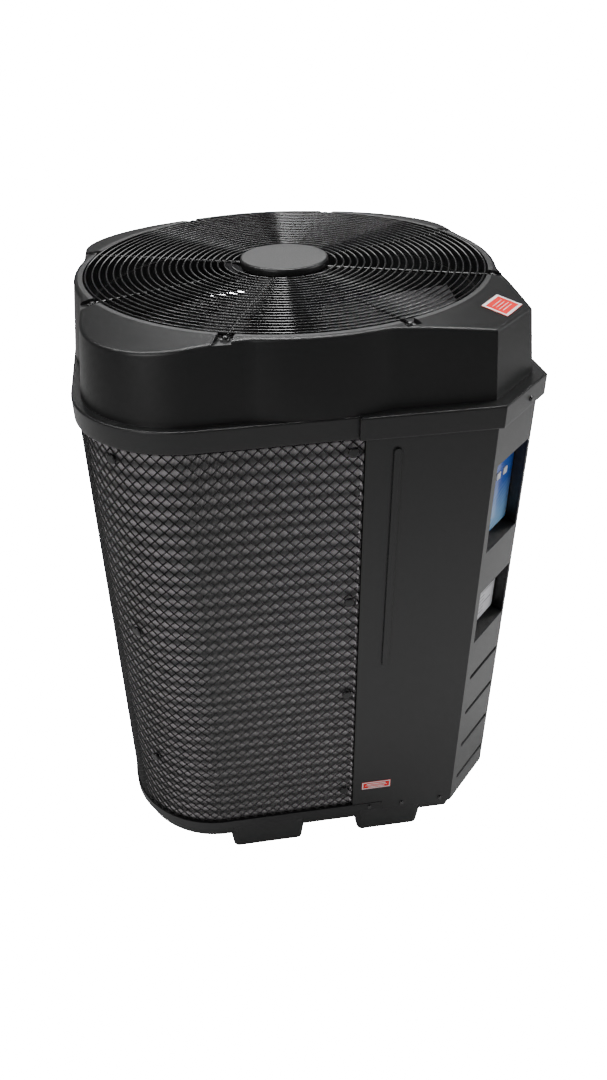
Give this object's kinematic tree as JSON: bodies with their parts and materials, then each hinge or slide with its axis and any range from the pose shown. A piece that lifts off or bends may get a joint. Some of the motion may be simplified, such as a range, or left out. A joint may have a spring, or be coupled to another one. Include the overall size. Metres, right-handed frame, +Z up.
{
  "type": "pool heat pump",
  "caption": "Top-discharge pool heat pump: black plastic cabinet with netted coil on the round sides, a flat service corner with controls, and a fan under a wire guard.",
  "frame": {"origin": "on the fan axis at the underside of the feet", "axes": "+Z up along the fan axis, -Y the front, +X the side with the water ports; the service corner is between -Y and +X"},
  "size_m": [0.792, 0.7885, 1.144],
  "materials": {
    "cabinet_black": "satin fine texture",
    "netting_black": "satin",
    "trim_black": "gloss",
    "guard_wire": "gloss coated wire",
    "zinc_steel": "zinc coated",
    "screw_steel": "bright",
    "fin_aluminium": "mill finish",
    "copper": "bare copper",
    "valve_brass": "bare brass",
    "black_steel": "semi gloss",
    "drier_green": "semi gloss",
    "motor_grey": "satin",
    "rubber_black": "matt",
    "pipe_white": "satin",
    "exchanger_grey": "satin",
    "fan_plastic": "satin",
    "label_blue": "printed film",
    "key_white": "satin",
    "plate_grey": "printed film",
    "sticker_red": "printed film",
    "switch_black": "satin",
    "board_green": "satin"
  },
  "bodies": {
    "cabinet": {"accumulator": "black_steel", "base_feet": "cabinet_black", "base_pan": "cabinet_black", "cabinet_posts": "zinc_steel", "cabinet_screws": "screw_steel", "clip_screws": "screw_steel", "coil_fins": "fin_aluminium", "coil_guard": "netting_black", "compressor_bolts": "zinc_steel", "compressor_grommets": "rubber_black", "compressor_plate": "zinc_steel", "compressor_shell": "black_steel", "conduit_bushing": "trim_black", "contactor": "switch_black", "control_board": "board_green", "control_label": "label_blue", "control_module": "trim_black", "data_plate": "plate_grey", "discharge_line": "copper", "drain_fitting": "trim_black", "electrical_box": "zinc_steel", "electrical_cover": "zinc_steel", "exchanger_caps": "exchanger_grey", "exchanger_shell": "exchanger_grey", "exchanger_stand": "exchanger_grey", "expansion_valve": "valve_brass", "fan_motor": "motor_grey", "fan_throat": "cabinet_black", "filter_drier": "drier_green", "guard_clips": "zinc_steel", "guard_plugs": "trim_black", "guard_rings": "guard_wire", "guard_rods": "guard_wire", "hub_cap": "cabinet_black", "hub_plate": "zinc_steel", "hub_studs": "zinc_steel", "liquid_line": "copper", "lobe_sticker": "sticker_red", "panel_sticker": "sticker_red", "pressure_switch": "switch_black", "return_bends": "copper", "reversing_valve": "valve_brass", "run_capacitor": "fin_aluminium", "service_panel": "cabinet_black", "side_panel": "cabinet_black", "suction_line": "copper", "terminal_block": "switch_black", "terminal_cover": "trim_black", "top_shroud": "cabinet_black", "tube_sheets": "zinc_steel", "union_gaskets": "rubber_black", "union_nuts": "trim_black", "union_tails": "pipe_white", "water_pipes": "pipe_white"},
    "fan": {"fan_rotor": "fan_plastic", "fan_bushing": "fin_aluminium", "motor_shaft": "zinc_steel"},
    "key_1": {"key_1": "key_white"},
    "key_2": {"key_2": "key_white"},
    "key_3": {"key_3": "key_white"}
  },
  "joints": [
    {"name": "fan_spin", "type": "hinge", "parent": "cabinet", "child": "fan", "pos_m": [0, 0, 1.01], "axis": [0, 0, 1], "continuous": true},
    {"name": "key_1_press", "type": "slide", "parent": "cabinet", "child": "key_1", "axis": [-0.7071, 0.7071, 0], "range_m": [0, 0.0015], "stiffness_N_per_m": 400},
    {"name": "key_2_press", "type": "slide", "parent": "cabinet", "child": "key_2", "axis": [-0.7071, 0.7071, 0], "range_m": [0, 0.0015], "stiffness_N_per_m": 400},
    {"name": "key_3_press", "type": "slide", "parent": "cabinet", "child": "key_3", "axis": [-0.7071, 0.7071, 0], "range_m": [0, 0.0015], "stiffness_N_per_m": 400}
  ]
}
